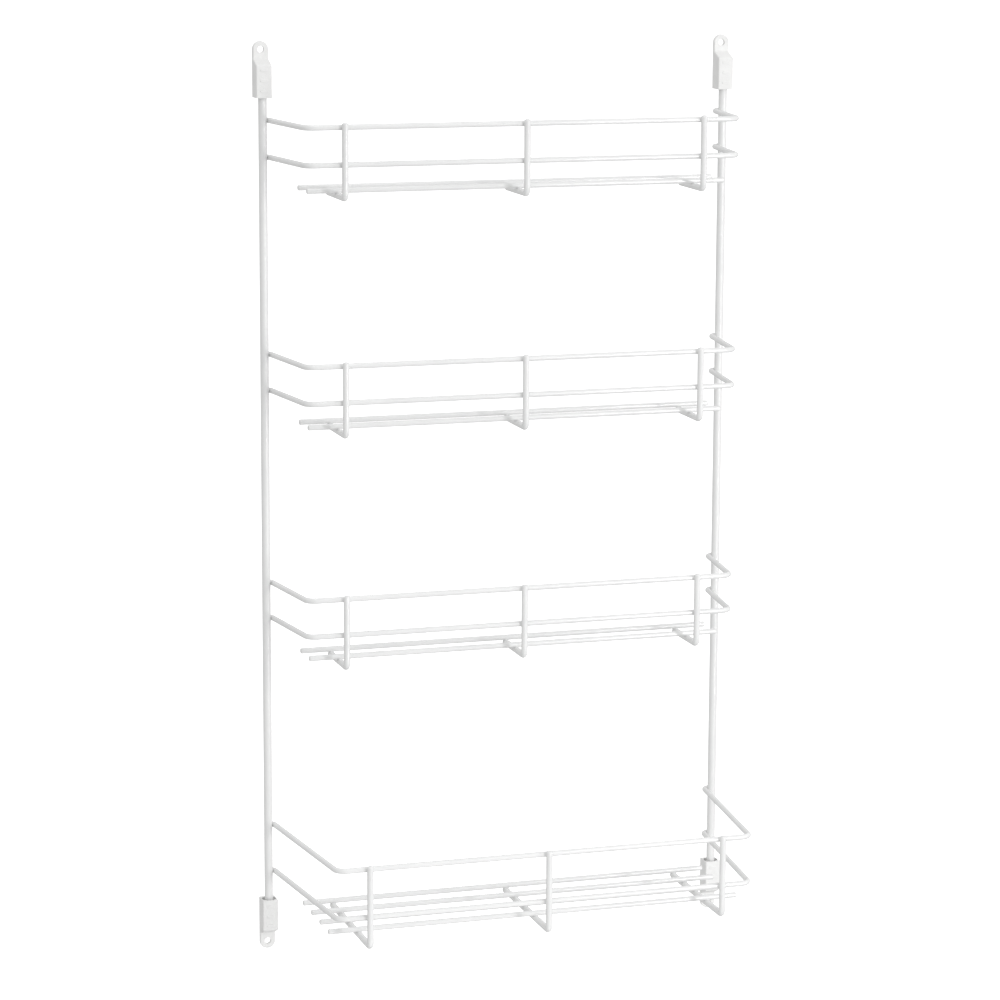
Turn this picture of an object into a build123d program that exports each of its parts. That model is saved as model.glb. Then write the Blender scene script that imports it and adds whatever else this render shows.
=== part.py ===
from build123d import *
import os

# Wire rack for spices and packets, hung on the inside of a pantry door.
# Two round posts stand in four plastic sockets, which are screwed to the door. Each of the
# four shelves is a basket of bent wire, resistance-welded: two rails that are welded to the
# backs of the posts, three ribs welded to the fronts of the rails, and base wires laid on the
# ribs. The bottom basket reaches further out than the other three.
#
# Frame: X to the right, Y towards the door, Z up. The origin is the middle of the four screw
# holes, on the face of the door.

# ---- Driving dimensions, mm ----

# Screw holes, which are in line with the posts
hole_spacing_x = 350.0
hole_spacing_z = 660.0

# Stock
post_d = 6.2
wire_d = 4.0  # rails and base wires
rib_d = 4.7
weld_sink = 0.5  # how far two welded wires sink into each other
wire_end_round = 0.9
rib_end_round = 1.5

# Posts
post_to_door = 6.8  # axis of the post to the face of the door
post_end_drop = 14.0  # screw hole to the end of the post inside the socket
post_end_chamfer = 0.5

# Rails
tail_overshoot = 1.8  # the tail behind the post ends this far outboard of the post's axis
side_inset = 4.7  # the tail turns forward this far inboard of the post's axis
tail_bend = 4.6  # centre-line radius of that turn, which hugs the post
corner_bend = 7.5  # centre-line radius of the front corners

# Ribs
rib_above_rail = 1.3  # the rib's tip stands this far above the upper rail
rib_bend = 4.0
rib_past_base_wire = 2.2  # the rib ends this far behind the axis of the rearmost base wire

# Sockets
socket_width = 11.6
socket_depth = 12.6
tab_thickness = 3.0
screw_hole_d = 4.8
shoulder_start = 6.6  # screw hole to where the shoulder leaves the tab
shoulder_end = 10.6  # screw hole to where the shoulder meets the front of the block
mouth_drop = 34.0  # screw hole to the mouth, where the post comes out
bore_clearance = 0.05  # radial, around the post
bore_end_gap = 0.5
mouth_d = 10.4
mouth_draft = 0.3  # the wide mouth narrows by this much, radially, over its depth
mouth_depth = 8.0
bore_lead_in = 2.0  # the cone from the wide mouth down to the bore
shoulder_round = 1.4
rim_round = 0.9  # along the front edges of the tab, the shoulder and the block
mouth_round = 0.3

# Three plain raised bars across the front of each socket
bar_count = 3
bar_length = 5.6
bar_width = 2.2
bar_height = 0.35
bar_round = 0.2
bar_pitch = 7.4
bar_centre_drop = 21.6  # screw hole to the middle bar


class Shelf:
    """The sizes of one basket. Reaches are measured forward from the axes of the posts."""

    def __init__(self, name, drop, rail_gap, base_drop, reach, front_width, base_wires):
        self.name = name
        self.upper_z = hole_spacing_z / 2 - drop
        self.lower_z = self.upper_z - rail_gap
        self.base_z = self.lower_z - base_drop
        self.reach = reach
        self.front_width = front_width
        self.base_wires = base_wires  # name: reach


# drop is from the top screws to the upper rail, rail_gap from rail to rail, base_drop from the
# lower rail to the base wires, reach from the posts to the front rail
shelf_pitch = 168.4
top_drop = 50.3
bottom_drop = 570.0
narrow_base = {"rear": 27.0, "front": 52.0}
deep_base = {"rear": 30.0, "mid_rear": 54.0, "mid_front": 78.0, "front": 102.0}

shelves = [
    Shelf("top_shelf", top_drop, 26.3, 19.3, 68.0, 322.0, narrow_base),
    Shelf("second_shelf", top_drop + shelf_pitch, 26.3, 19.3, 68.0, 322.0, narrow_base),
    Shelf("third_shelf", top_drop + 2 * shelf_pitch, 26.3, 19.3, 68.0, 322.0, narrow_base),
    Shelf("bottom_shelf", bottom_drop, 35.3, 17.1, 129.0, 312.6, deep_base),
]
base_wire_length = 313.0
rib_spacing = 133.5
rib_places = {"left": -rib_spacing, "middle": 0.0, "right": rib_spacing}

# ---- Worked out ----

post_x = hole_spacing_x / 2
post_r = post_d / 2
wire_r = wire_d / 2
post_length = hole_spacing_z - 2 * post_end_drop
tail_y = -post_to_door + post_r + wire_r - weld_sink
rib_r = rib_d / 2
weld_pitch = wire_r + rib_r - weld_sink  # axis to axis where a rib is welded to a wire
bore_r = post_r + bore_clearance
sides = {"left": -1, "right": 1}
ends = {"top": 1, "bottom": -1}


def save(piece, name):
    """Label a finished piece and write it to its own STEP file."""
    piece.part.label = name
    export_step(piece.part, f"parts/{name}.step")


def bent_wire(points, bends, radius, end_round):
    """Wire along straight runs, with one bend for each corner and rounded cut ends."""
    with BuildPart() as wire:
        with BuildLine() as centre_line:
            FilletPolyline(*points, radius=bends)
        start = Plane(origin=centre_line.line @ 0, z_dir=centre_line.line % 0)
        with BuildSketch(start):
            Circle(radius)
        sweep()
        cut_ends = wire.faces().filter_by(GeomType.PLANE)
        fillet(cut_ends.edges(), radius=end_round)
    return wire


def straight_wire(y, z, length):
    """Base wire parallel to X, centred on the rack."""
    with BuildPart() as wire:
        with BuildSketch(Plane.YZ.offset(-length / 2)):
            with Locations((y, z)):
                Circle(wire_r)
        extrude(amount=length)
        cut_ends = wire.faces().filter_by(GeomType.PLANE)
        fillet(cut_ends.edges(), radius=wire_end_round)
    return wire


def post(x):
    """Upright rod, chamfered where it goes into the sockets."""
    with BuildPart() as rod:
        with BuildSketch(Plane.XY.offset(-post_length / 2)):
            with Locations((x, -post_to_door)):
                Circle(post_r)
        extrude(amount=post_length)
        chamfer(rod.faces().filter_by(Axis.Z).edges(), length=post_end_chamfer)
    return rod


def rail(shelf, z):
    """One wire: a tail behind the left post, round the front, to a tail behind the right post."""
    front_y = -post_to_door - shelf.reach
    left_half = [
        (-post_x - tail_overshoot, tail_y, z),
        (-post_x + side_inset, tail_y, z),
        (-shelf.front_width / 2, front_y, z),
    ]
    right_half = [(-x, y, z) for x, y, z in reversed(left_half)]
    bends = [tail_bend, corner_bend, corner_bend, tail_bend]
    return bent_wire(left_half + right_half, bends, wire_r, wire_end_round)


def rib(shelf, x):
    """Down in front of both rails, then back under the base wires."""
    front_y = -post_to_door - shelf.reach - weld_pitch
    rear_y = -post_to_door - min(shelf.base_wires.values()) + rib_past_base_wire
    top_z = shelf.upper_z + wire_r + rib_above_rail
    under_z = shelf.base_z - weld_pitch
    points = [(x, front_y, top_z), (x, front_y, under_z), (x, rear_y, under_z)]
    return bent_wire(points, [rib_bend], rib_r, rib_end_round)


def socket(x, end):
    """Plastic socket with a screw tab. end is 1 where the tab points up and -1 where down."""
    hole = (x, 0, end * hole_spacing_z / 2)
    # x is across the socket, y towards the tip of the tab, and the normal points into the room
    front = Plane(origin=hole, x_dir=(end, 0, 0), z_dir=(0, -1, 0))
    # x points into the room and y towards the tip of the tab
    side = Plane(origin=hole, x_dir=(0, -1, 0), z_dir=(-end, 0, 0))
    towards_tip = Axis(hole, (0, 0, end))
    half_width = socket_width / 2
    slack = 0.01  # the front edges of the tab lie within this much of its thickness

    with BuildPart() as body:
        with BuildSketch(front):
            Circle(half_width)
            with Locations((0, -mouth_drop / 2)):
                Rectangle(socket_width, mouth_drop)
        extrude(amount=socket_depth)

        # thin tab, sloping shoulder and full block, seen from the side
        with BuildSketch(side):
            with BuildLine():
                Polyline(
                    (0, half_width),
                    (tab_thickness, half_width),
                    (tab_thickness, -shoulder_start),
                    (socket_depth, -shoulder_end),
                    (socket_depth, -mouth_drop),
                    (0, -mouth_drop),
                    close=True,
                )
            make_face()
        extrude(amount=half_width, both=True, mode=Mode.INTERSECT)

        shoulder = body.edges().filter_by(Axis.X).sort_by(towards_tip)[-2:]
        fillet(shoulder, radius=shoulder_round)
        proud = body.edges().filter_by(lambda edge: edge.center().Y < slack - tab_thickness)
        rim = proud - proud.filter_by(Axis.X) - proud.filter_by(Axis.Y)
        fillet(rim, radius=rim_round)
        mouth = body.faces().sort_by(towards_tip)[0]
        fillet(mouth.edges(), radius=mouth_round)

        # blind bore for the post, with a wide mouth
        with BuildSketch(side):
            with BuildLine():
                Polyline(
                    (post_to_door, -mouth_drop),
                    (post_to_door + mouth_d / 2, -mouth_drop),
                    (post_to_door + mouth_d / 2 - mouth_draft, mouth_depth - mouth_drop),
                    (post_to_door + bore_r, mouth_depth + bore_lead_in - mouth_drop),
                    (post_to_door + bore_r, bore_end_gap - post_end_drop),
                    (post_to_door, bore_end_gap - post_end_drop),
                    close=True,
                )
            make_face()
        revolve(axis=Axis((x, -post_to_door, 0), (0, 0, 1)), mode=Mode.SUBTRACT)

        with BuildSketch(front):
            Circle(screw_hole_d / 2)
        extrude(amount=tab_thickness, mode=Mode.SUBTRACT)

        with BuildSketch(front.offset(socket_depth)):
            with Locations((0, -bar_centre_drop)):
                with GridLocations(0, bar_pitch, 1, bar_count):
                    SlotOverall(bar_length, bar_width)
        extrude(amount=bar_height)
        bar_tops = body.faces().filter_by(Axis.Y).group_by(Axis.Y)[0]
        fillet(bar_tops.edges(), radius=bar_round)
    return body


os.makedirs("parts", exist_ok=True)

for side_name, sign in sides.items():
    save(post(sign * post_x), f"post_{side_name}")
    for end_name, end in ends.items():
        save(socket(sign * post_x, end), f"socket_{end_name}_{side_name}")

for shelf in shelves:
    save(rail(shelf, shelf.upper_z), f"{shelf.name}_upper_rail")
    save(rail(shelf, shelf.lower_z), f"{shelf.name}_lower_rail")
    for place, x in rib_places.items():
        save(rib(shelf, x), f"{shelf.name}_rib_{place}")
    for place, reach in shelf.base_wires.items():
        wire = straight_wire(-post_to_door - reach, shelf.base_z, base_wire_length)
        save(wire, f"{shelf.name}_base_wire_{place}")
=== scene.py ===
import math
import random

import bmesh
import bpy
from mathutils import Matrix, Vector


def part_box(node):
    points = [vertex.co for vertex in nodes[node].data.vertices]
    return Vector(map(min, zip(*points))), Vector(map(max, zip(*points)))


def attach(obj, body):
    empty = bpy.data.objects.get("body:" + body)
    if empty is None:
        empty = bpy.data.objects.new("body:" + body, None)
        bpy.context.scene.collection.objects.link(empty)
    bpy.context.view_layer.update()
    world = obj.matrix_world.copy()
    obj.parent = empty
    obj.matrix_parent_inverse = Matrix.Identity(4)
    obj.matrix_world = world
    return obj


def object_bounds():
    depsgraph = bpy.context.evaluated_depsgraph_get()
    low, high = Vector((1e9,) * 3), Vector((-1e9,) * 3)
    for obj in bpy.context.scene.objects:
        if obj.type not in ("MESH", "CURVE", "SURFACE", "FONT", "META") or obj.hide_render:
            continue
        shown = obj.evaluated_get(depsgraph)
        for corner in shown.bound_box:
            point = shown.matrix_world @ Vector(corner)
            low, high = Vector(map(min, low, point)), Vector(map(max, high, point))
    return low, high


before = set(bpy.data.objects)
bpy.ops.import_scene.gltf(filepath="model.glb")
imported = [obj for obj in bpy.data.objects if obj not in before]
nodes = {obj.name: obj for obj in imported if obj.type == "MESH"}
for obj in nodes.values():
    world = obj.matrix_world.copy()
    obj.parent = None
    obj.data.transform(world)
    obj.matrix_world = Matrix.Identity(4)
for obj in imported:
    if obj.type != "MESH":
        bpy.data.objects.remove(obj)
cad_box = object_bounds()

# ---- Posts -------------------------------------------------------------------------------
# The two uprights are straight steel rods. All the steel is welded together first and coated
# afterwards, so posts and baskets share one skin: white powder, sprayed on dry and baked to a
# satin finish. It has a faint orange peel, and it is thinner and duller in some places.


class Field:
    """A value that varies over a surface: one output of a node, with arithmetic."""

    def __init__(self, tree, socket=None):
        self.tree = tree
        self.socket = socket

    def node(self, kind, settings, inputs, output=0):
        """Any other node: its settings, its inputs' values or links, and the output to read."""
        made = self.tree.nodes.new("ShaderNode" + kind)
        for name, value in settings.items():
            if name == "stops":
                for stop, (position, shade) in zip(made.color_ramp.elements, value):
                    stop.position = position
                    stop.color = (shade, shade, shade, 1)
            else:
                setattr(made, name, value)
        for name, value in inputs.items():
            if isinstance(value, Field):
                self.tree.links.new(value.socket, made.inputs[name])
            else:
                made.inputs[name].default_value = value
        return Field(self.tree, made.outputs[output])

    def maths(self, operation, first, second):
        return self.node("Math", {"operation": operation}, {0: first, 1: second})

    def __add__(self, other):
        return self.maths("ADD", self, other)

    def __sub__(self, other):
        return self.maths("SUBTRACT", self, other)

    def __rsub__(self, other):
        return self.maths("SUBTRACT", other, self)

    def __mul__(self, other):
        return self.maths("MULTIPLY", self, other)

    __radd__ = __add__
    __rmul__ = __mul__

    def feed(self, shader, name):
        self.tree.links.new(self.socket, shader.inputs[name])


def new_surface(name):
    """A new material, where a point lies on the object in metres as a Field, and the shader."""
    material = bpy.data.materials.new(name)
    material.use_nodes = True
    shader = material.node_tree.nodes["Principled BSDF"]
    where = Field(material.node_tree).node("TexCoord", {}, {}, output="Object")
    return material, where, shader


def blotches(where, per_metre, detail):
    """Soft cloudy noise from 0 to 1, with about so many light and dark patches to a metre."""
    return where.node("TexNoise", {}, {"Vector": where, "Scale": per_metre, "Detail": detail})


def ramp(field, stops):
    """The field through a ramp, given as (position, shade) for each stop."""
    return field.node("ValToRGB", {"stops": stops}, {"Fac": field})


def blend(share, first, second):
    """A colour that goes from the first to the second as share goes from 0 to 1."""
    inputs = {"Factor": share, "A": first, "B": second}
    return share.node("Mix", {"data_type": "RGBA"}, inputs, output=2)


def relief_on(shader, height, strength, depth):
    """Feed a height field to the shader's normal."""
    inputs = {"Height": height, "Strength": strength, "Distance": depth}
    height.node("Bump", {}, inputs).feed(shader, "Normal")


def powder_coat():
    """White powder coat: peel and grain in the relief, thin patches in colour and gloss."""
    material, where, shader = new_surface("satin_white_powder_coat")
    peel = blotches(where, 540, 2)
    grain = blotches(where, 3200, 1)
    thin = ramp(blotches(where, 42, 3), [(0.42, 0), (0.7, 1)])
    pits = ramp(grain, [(0.3, 1), (0.38, 0)])
    full = (0.845, 0.847, 0.844, 1)
    lean = (0.805, 0.808, 0.808, 1)
    specks = (0.74, 0.742, 0.738, 1)
    blend(pits * 0.5, blend(thin, full, lean), specks).feed(shader, "Base Color")
    gloss = 0.1 + 0.1 * peel + 0.08 * thin
    gloss.feed(shader, "Roughness")
    relief_on(shader, peel + 0.2 * grain, 0.35, 0.00005)
    shader.inputs["IOR"].default_value = 1.62
    return material


coating = powder_coat()


def finish_with(thing, material):
    """Give one piece its material."""
    if not thing.data.materials:
        thing.data.materials.append(material)
    for holder in thing.material_slots:
        holder.material = material


for side in ("left", "right"):
    finish_with(nodes["post_" + side], coating)

# ---- Rails -------------------------------------------------------------------------------
# Each basket has two rails, and each rail is one bent wire. Its ends hook behind the posts,
# where they are resistance-welded: the metal that is squeezed out and the powder that settles
# there leave a small fillet above and below the wire, which dies out as wire and post part.

shelves = ("top_shelf", "second_shelf", "third_shelf", "bottom_shelf")
weld_fillet = 0.0003  # radius
weld_root = 0.0003  # how far the hidden edge of a fillet lies inside the post
tail_inset = 0.0047  # post's axis to where the tail turns forward
tail_bend = 0.0046  # centre-line radius of that turn
half_turn = math.radians(41.5)  # the wire turns by about twice this
tail_round = 0.0004  # the fillets stop this far short of the tail's cut end
parting_turn = math.radians(56)  # round the post, from behind it to where wire and post part
arc_steps = 5
strip_steps = 26


def blend_arc(centre, radius, first, second):
    """Points on a ball of weld or powder, from one contact to the other by the short way."""
    start = (first - centre).normalized()
    end = (second - centre).normalized()
    return [centre + radius * start.slerp(end, step / arc_steps) for step in range(arc_steps + 1)]


def skin(mesh, rings, joined):
    """Join closed rings of equal length into a closed skin: a hoop if joined, or a capped bar."""
    rings = [[mesh.verts.new(point) for point in ring] for ring in rings]
    count = len(rings[0])
    following = rings[1:] + rings[:1] if joined else rings[1:]
    for here, there in zip(rings, following):
        for point in range(count):
            beside = (point + 1) % count
            mesh.faces.new((here[point], there[point], there[beside], here[beside]))
    if not joined:
        mesh.faces.new(rings[0])
        mesh.faces.new(rings[-1])


def add_piece(name, built, material, body):
    """One smooth mesh piece that rides on a body."""
    bmesh.ops.recalc_face_normals(built, faces=built.faces)
    for face in built.faces:
        face.smooth = True
    mesh = bpy.data.meshes.new(name)
    built.to_mesh(mesh)
    built.free()
    piece = bpy.data.objects.new(name, mesh)
    bpy.context.scene.collection.objects.link(piece)
    finish_with(piece, material)
    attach(piece, body)


def middle_and_radius(node):
    """The middle of a node's box, and half the thickness of a wire that lies level in it."""
    low, high = (Vector(corner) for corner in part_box(node))
    return (low + high) / 2, (high.z - low.z) / 2


def tail_weld(post_axis, post_radius, wire_radius, tail_end, outward, rail_z, tail_y):
    """Fillets above and below a rail's tail, each a strip that follows the wire round the post."""
    strips = []
    tail_gap = tail_y - post_axis.y
    bend_middle = tail_inset - tail_bend * math.tan(half_turn)
    first = -math.atan2(abs(tail_end - post_axis.x) - tail_round, tail_gap)
    for up in (1, -1):
        rings = []
        for step in range(strip_steps + 1):
            share = step / strip_steps
            angle = first + (parting_turn - first) * share
            if angle < math.atan2(bend_middle, tail_gap):
                reach = tail_gap / math.cos(angle)
            else:
                along = bend_middle * math.sin(angle)
                reach = along + math.sqrt(tail_bend**2 - (bend_middle * math.cos(angle)) ** 2)
            # tapers to a quarter where the tail is cut off, and to almost nothing at the other end
            ball = weld_fillet * min(1, 0.25 + 5 * share, 0.08 + 3.2 * (1 - share))
            out = reach - post_radius - ball
            rise = math.sqrt(max((wire_radius + ball) ** 2 - out**2, 0))
            axis_to = Vector((-outward * math.sin(angle), math.cos(angle), 0))
            lift = Vector((0, 0, up))
            centre = axis_to * (post_radius + ball) + lift * rise
            wire = axis_to * reach
            on_post = axis_to * post_radius + lift * rise
            on_wire = wire + (centre - wire) * (wire_radius / (wire_radius + ball))
            arc = blend_arc(centre, ball, on_post, on_wire)
            hidden = axis_to * (post_radius - weld_root) + lift * (rise - weld_fillet)
            post_middle = Vector((post_axis.x, post_axis.y, rail_z))
            rings.append([post_middle + point for point in [hidden, *arc]])
        strips.append(rings)
    return strips


for shelf in shelves:
    welds = bmesh.new()
    for height in ("upper", "lower"):
        rail = f"{shelf}_{height}_rail"
        finish_with(nodes[rail], coating)
        middle, wire_radius = middle_and_radius(rail)
        rail_low, rail_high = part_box(rail)
        tail_y = rail_high[1] - wire_radius
        for side, outward, tail_end in (("left", -1, rail_low[0]), ("right", 1, rail_high[0])):
            post_low, post_high = (Vector(corner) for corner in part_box("post_" + side))
            post_axis = (post_low + post_high) / 2
            post_radius = (post_high.x - post_low.x) / 2
            for rings in tail_weld(
                post_axis, post_radius, wire_radius, tail_end, outward, middle.z, tail_y
            ):
                skin(welds, rings, joined=False)
    add_piece(shelf + "_post_welds", welds, coating, "rack")

# ---- Ribs and base wires -----------------------------------------------------------------
# A rib of thicker wire comes down in front of both rails and back under the base wires. Every
# crossing is resistance-welded in one press, with a low collar all round it, where the powder
# also gathers. No two collars are quite the same size.

collar_sides = 28
smallest_collar = 0.8  # share of the usual fillet
largest_collar = 1.25
halvings = 40  # enough for the place of a collar to be exact
luck = random.Random(7)


def collar(first_middle, first_radius, along_first, second_middle, second_radius, along_second):
    """The hoop that a ball leaves as it rolls round the crossing of two wires.

    Each ring of the hoop is the arc between the wires, closed through a point on each wire's
    axis. Rings that mirror each other share those points, so the hoop folds on itself in there.
    """
    across = second_middle - first_middle
    span = across.length
    across.normalize()
    ball = weld_fillet * luck.uniform(smallest_collar, largest_collar)
    rings = []
    for side in range(collar_sides):
        turn = 2 * math.pi * side / collar_sides
        # halve the reach of the ball's centre until it touches both wires
        near, far = 0.0, first_radius + second_radius
        for _ in range(halvings):
            reach = (near + far) / 2
            from_first = (first_radius + ball) ** 2 - (reach * math.sin(turn)) ** 2
            from_second = (second_radius + ball) ** 2 - (reach * math.cos(turn)) ** 2
            over_both = min(from_first, from_second) > 0
            if over_both and math.sqrt(from_first) + math.sqrt(from_second) > span:
                near = reach
            else:
                far = reach
        rise = math.sqrt(max((first_radius + ball) ** 2 - (near * math.sin(turn)) ** 2, 0))
        down_first = along_first * near * math.cos(turn)
        down_second = along_second * near * math.sin(turn)
        centre = down_first + down_second + across * rise
        on_first = down_first + (centre - down_first) * (first_radius / (first_radius + ball))
        axis = across * span + down_second
        on_second = axis + (centre - axis) * (second_radius / (second_radius + ball))
        arc = blend_arc(centre, ball, on_first, on_second)
        inside_first = down_first * 0.7
        inside_second = across * span + down_second * 0.5
        ring = [inside_first, *arc, inside_second]
        rings.append([first_middle + point for point in ring])
    return rings


level_wire = Vector((1, 0, 0))
upright_rib = Vector((0, 0, 1))
rib_foot = Vector((0, 1, 0))

for shelf in shelves:
    welds = bmesh.new()
    bases = sorted(name for name in nodes if name.startswith(shelf + "_base_wire"))
    for base in bases:
        finish_with(nodes[base], coating)
    for rib in sorted(name for name in nodes if name.startswith(shelf + "_rib")):
        finish_with(nodes[rib], coating)
        rib_low, rib_high = (Vector(corner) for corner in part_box(rib))
        rib_x = (rib_low.x + rib_high.x) / 2
        rib_radius = (rib_high.x - rib_low.x) / 2
        crossings = []
        for height in ("upper", "lower"):
            rail = f"{shelf}_{height}_rail"
            middle, rail_radius = middle_and_radius(rail)
            on_rail = Vector((rib_x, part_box(rail)[0][1] + rail_radius, middle.z))
            on_rib = Vector((rib_x, rib_low.y + rib_radius, middle.z))
            crossings.append((on_rail, rail_radius, on_rib, upright_rib))
        for base in bases:
            middle, base_radius = middle_and_radius(base)
            on_base = Vector((rib_x, middle.y, middle.z))
            on_rib = Vector((rib_x, middle.y, rib_low.z + rib_radius))
            crossings.append((on_base, base_radius, on_rib, rib_foot))
        for on_wire, wire_radius, on_rib, along_rib in crossings:
            rings = collar(on_wire, wire_radius, level_wire, on_rib, rib_radius, along_rib)
            skin(welds, rings, joined=True)
    add_piece(shelf + "_rib_welds", welds, coating, "rack")

# ---- Sockets -----------------------------------------------------------------------------
# Each end of a post stands in a socket moulded of white plastic, which a screw through its tab
# holds to the door. The mould's surface is spark-eroded, so the plastic is matt with a fine
# even grain, and it has clouded a little where it flowed.


def moulded_plastic():
    """Matt white plastic with the grain of a spark-eroded mould."""
    material, where, shader = new_surface("matt_white_plastic")
    spark = blotches(where, 1500, 3)
    cloud = ramp(blotches(where, 120, 3), [(0.35, 0), (0.7, 1)])
    clear = (0.89, 0.89, 0.882, 1)
    dull = (0.84, 0.84, 0.832, 1)
    grey = (0.74, 0.74, 0.735, 1)
    blend(spark * 0.35, blend(cloud, clear, dull), grey).feed(shader, "Base Color")
    gloss = 0.46 + 0.2 * spark
    gloss.feed(shader, "Roughness")
    relief_on(shader, spark, 0.8, 0.0001)
    return material


plastic = moulded_plastic()
for end in ("top", "bottom"):
    for side in ("left", "right"):
        finish_with(nodes[f"socket_{end}_{side}"], plastic)

# ---- Floor -------------------------------------------------------------------------------
# A plain white studio sweep, well below the rack. It shines a little by itself, so that it
# stays an even white right out to the horizon.

floor_drop = 0.4  # below the lowest point of the rack
floor_reach = 90.0  # from the middle to each edge
floor_glow = 0.6
floor_z = cad_box[0][2] - floor_drop
floor_mesh = bpy.data.meshes.new("floor")
floor_mesh.from_pydata(
    [
        (-floor_reach, -floor_reach, floor_z),
        (floor_reach, -floor_reach, floor_z),
        (floor_reach, floor_reach, floor_z),
        (-floor_reach, floor_reach, floor_z),
    ],
    [],
    [(0, 1, 2, 3)],
)
floor = bpy.data.objects.new("floor", floor_mesh)
bpy.context.scene.collection.objects.link(floor)
paint, _, paint_shader = new_surface("white_floor")
paint_shader.inputs["Base Color"].default_value = (0.9, 0.9, 0.9, 1)
paint_shader.inputs["Roughness"].default_value = 0.9
paint_shader.inputs["Emission Color"].default_value = (1, 1, 1, 1)
paint_shader.inputs["Emission Strength"].default_value = floor_glow
floor.data.materials.append(paint)
floor.visible_diffuse = False
floor.visible_glossy = False

# ---- Light -------------------------------------------------------------------------------
# A white room: soft light from all round and stronger from above. A tall soft box stands to the
# right of the front, one hangs overhead and one is at the right side. A low one under the rack
# is the light that a white table throws up at the lower baskets.

world = bpy.data.worlds.new("studio")
bpy.context.scene.world = world
world.use_nodes = True
background = world.node_tree.nodes["Background"]
background.inputs["Color"].default_value = (1, 1, 1, 1)
sky = Field(world.node_tree)
direction = sky.node("TexCoord", {}, {}, output="Generated")
split = direction.node("SeparateXYZ", {}, {"Vector": direction})
right, up = (Field(world.node_tree, split.socket.node.outputs[axis]) for axis in (0, 2))
glow = 0.66 - 0.02 * right + 0.18 * up
seen = sky.node("LightPath", {}, {}, output="Is Camera Ray")
brightness = seen.node("Mix", {"data_type": "FLOAT"}, {"Factor": seen, 2: glow, 3: 1.0})
brightness.feed(background, "Strength")


def soft_box(name, place, width, height, watts):
    """A soft box that faces the middle of the rack."""
    light = bpy.data.lights.new(name, "AREA")
    light.shape = "RECTANGLE"
    light.size = width
    light.size_y = height
    light.energy = watts
    lamp = bpy.data.objects.new(name, light)
    bpy.context.scene.collection.objects.link(lamp)
    lamp.location = place
    lamp.rotation_euler = (-Vector(place)).to_track_quat("-Z", "Y").to_euler()
    lamp.visible_camera = False


soft_box("key", place=(0.86, -1.95, 0.05), width=0.2, height=1.6, watts=13.5)
soft_box("overhead", place=(0, -0.3, 3), width=1.5, height=1.5, watts=12)
soft_box("side", place=(0.95, -0.75, 0.1), width=0.4, height=0.8, watts=1.7)
soft_box("table_bounce", place=(-0.1, -0.5, -0.68), width=0.6, height=0.6, watts=1.0)

# ---- Camera ------------------------------------------------------------------------------
# A long lens on a tripod, from the left and a little above, with the whole rack in the frame
# and no shift.

camera = bpy.data.objects.new("camera", bpy.data.cameras.new("camera"))
bpy.context.scene.collection.objects.link(camera)
bpy.context.scene.camera = camera
camera.data.sensor_width = 36
camera.data.lens = 127.57
camera.data.clip_end = 200
camera_place = (-0.7757, -2.4674, 0.4892)
yaw, pitch, roll = (math.radians(degrees) for degrees in (17.572, 10.831, 0.261))
camera.matrix_world = (
    Matrix.Translation(camera_place)
    @ Matrix.Rotation(-yaw, 4, "Z")
    @ Matrix.Rotation(math.pi / 2 - pitch, 4, "X")
    @ Matrix.Rotation(roll, 4, "Z")
)
bpy.context.scene.view_settings.view_transform = "Standard"
